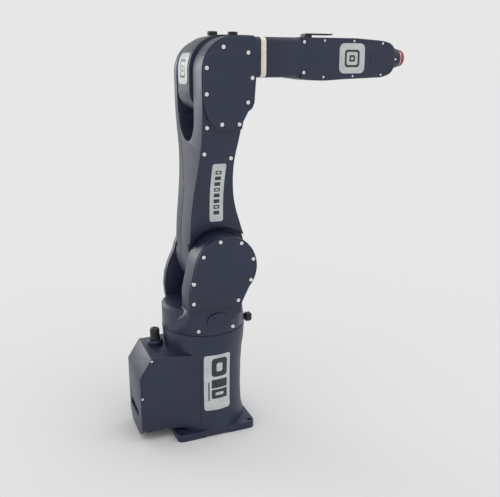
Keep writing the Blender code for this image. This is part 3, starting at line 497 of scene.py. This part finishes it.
def arc_groove():
    """The shallow arc pressed into the near wrist cover around the wrist axis."""
    shape = bmesh.new()
    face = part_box("near_wrist_cover")[0][1]
    inner, outer, steps = 25.5 * MM, 27.5 * MM, 16
    first, sweep = 152, 60
    for depth in (-3 * MM, 0.8 * MM):
        ring = []
        for radius, turns in ((inner, range(steps + 1)), (outer, range(steps, -1, -1))):
            for i in turns:
                angle = math.radians(first + sweep * i / steps)
                place = (WRIST_X + radius * math.cos(angle), face + depth,
                         FOREARM_Z + radius * math.sin(angle))
                ring.append(shape.verts.new(place))
        if depth < 0:
            near = ring
    join_rings(shape, [near, ring])
    bmesh.ops.recalc_face_normals(shape, faces=shape.faces)
    return new_object("arc_groove", shape, SCREW_METAL)


def make_castings():
    fine_copy("base_casting", 2.0 * MM)
    fine_copy("rear_cover", 1.6 * MM,
              fit_screws("rear_cover_screws", "rear_cover", REAR_SCREWS, SMALL))
    fine_copy("waist_casting", 2.0 * MM,
              fit_screws("waist_screws", "waist_casting", WAIST_SCREWS, LARGE))
    fine_copy("near_shoulder_cover", 1.2 * MM,
              fit_screws("shoulder_cover_screws", "near_shoulder_cover", SHOULDER_SCREWS, LARGE))
    fine_copy("upper_arm_casting", 1.6 * MM,
              fit_screws("arm_screws", "upper_arm_casting", ARM_SCREWS, LARGE))
    # Its near face stands back from the arm casting, which leaves the parting line open
    fine_copy("far_arm_plate", 1.6 * MM, step=1.8 * MM)
    fine_copy("near_elbow_cover", 1.2 * MM,
              fit_screws("elbow_cover_screws", "near_elbow_cover", ELBOW_SCREWS, LARGE))
    fine_copy("elbow_housing", 2.5 * MM)
    fine_copy("forearm_casting", 2.0 * MM)
    fine_copy("near_wrist_cover", 1.2 * MM,
              fit_screws("wrist_cover_screws", "near_wrist_cover", COVER_SCREWS, LARGE - 0.6 * MM),
              fit_screws("wrist_cover_small_screws", "near_wrist_cover", COVER_SMALL_SCREWS, SMALL),
              arc_groove())
    fine_copy("far_wrist_cover", 1.2 * MM)
    fine_copy("wrist_body", 1.2 * MM, fit_screws("nose_screw", "wrist_body", NOSE_SCREW, SMALL))


def make_small_pieces():
    fine_copy("waist_inspection_cover", 0.8 * MM,
              holes("waist_inspection_cover", BROW_HOLES, 2.2 * MM, 3 * MM))
    for node in ("far_shoulder_cover", "far_elbow_cover", "connector_base", "j1_stop_block",
                 "cable_bracket", "elbow_plug_rear", "elbow_plug_front", "j4_ring", "tool_flange",
                 "flange_ring"):
        fine_copy(node, 0.6 * MM)
    for node in ("column_label", "arm_label", "elbow_badge", "wrist_badge"):
        fine_copy(node, 0.25 * MM)
    fine_copy("main_connector", 0.4 * MM, facing=BACK, step=3 * MM)
    knurled_cap()


def knurled_cap():
    """The round connector's black cap, with grip ridges around its side."""
    low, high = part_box("connector_cap")
    place = Vector(((low[0] + high[0]) / 2, (low[1] + high[1]) / 2, low[2]))
    radius, height, ridges = (high[0] - low[0]) / 2, high[2] - low[2], 18
    shape = bmesh.new()
    profile = [(1.0, 0.0, 0), (1.0, 0.24, 0), (0.9, 0.28, 0), (0.88, 0.34, 1), (0.88, 0.9, 1),
               (0.84, 0.96, 0), (0.76, 1.0, 0), (0.3, 1.0, 0), (0.28, 0.94, 0)]
    count = ridges * 6
    rings = []
    for reach, up, ridged in profile:
        ring = []
        for i in range(count):
            angle = 2 * math.pi * i / count
            grip = 0.035 * ridged * math.cos(ridges * angle)
            across = radius * (reach + grip)
            point = Vector((across * math.cos(angle), across * math.sin(angle), height * up))
            ring.append(shape.verts.new(place + point))
        rings.append(ring)
    join_rings(shape, rings)
    cap = apply_modifiers(new_object("connector_cap_fine", shape, MATERIALS["black_plastic"]))
    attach(cap, BODY_OF["connector_cap"])
    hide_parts("connector_cap")


# ---- floor, light and camera ------------------------------------------------------------------------


# The camera and the even studio light
CAMERA_PLACE = Vector((-0.4737, -1.4879, 0.9137))
CAMERA_TURN = math.radians(-22.16)
CAMERA_PITCH = math.radians(15.76)
CAMERA_LENS = 46.0
CAMERA_SENSOR = 36.0
FLOOR_REACH = 60.0
FLOOR_SHADE = 0.80
SKY = 0.80


def make_stage():
    """A wide pale floor."""
    shape = bmesh.new()
    bmesh.ops.create_grid(shape, x_segments=2, y_segments=2, size=FLOOR_REACH)
    nodes = Nodes("floor_finish")
    pale = (FLOOR_SHADE, FLOOR_SHADE, FLOOR_SHADE * 1.004)
    tone = nodes.mix(nodes.noise(1.5, 2.0), scaled(pale, 0.99), scaled(pale, 1.01))
    rough = nodes.ramp(nodes.noise(20.0), 0.0, 1.0, 0.85, 0.95)
    nodes.shader.inputs["Specular IOR Level"].default_value = 0.0
    floor = new_object("floor", shape, nodes.finish(tone, rough))


def make_sun(name, direction, strength, spread):
    """A distant soft light that shines from the given direction."""
    light = bpy.data.lights.new(name, "SUN")
    light.energy = strength
    light.angle = math.radians(spread)
    obj = bpy.data.objects.new(name, light)
    bpy.context.scene.collection.objects.link(obj)
    obj.rotation_euler = (-Vector(direction)).to_track_quat("-Z", "Y").to_euler()


def make_lights():
    world = bpy.data.worlds.new("studio")
    bpy.context.scene.world = world
    world.use_nodes = True
    background = world.node_tree.nodes["Background"]
    background.inputs["Color"].default_value = (1.0, 1.0, 1.0, 1.0)
    background.inputs["Strength"].default_value = SKY
    make_sun("key", (0.45, -0.25, 1.0), 0.55, 60)
    make_sun("left", (-0.6, 0.8, 0.06), 1.3, 40)


def make_camera():
    camera = bpy.data.objects.new("camera", bpy.data.cameras.new("camera"))
    bpy.context.scene.collection.objects.link(camera)
    camera.data.lens = CAMERA_LENS
    camera.data.sensor_width = CAMERA_SENSOR
    camera.location = CAMERA_PLACE
    camera.rotation_euler = (math.pi / 2 - CAMERA_PITCH, 0, CAMERA_TURN)
    bpy.context.scene.camera = camera


bpy.context.scene.view_settings.view_transform = "Standard"
make_camera()
paint_frame()
make_castings()
make_small_pieces()
make_stage()
make_lights()
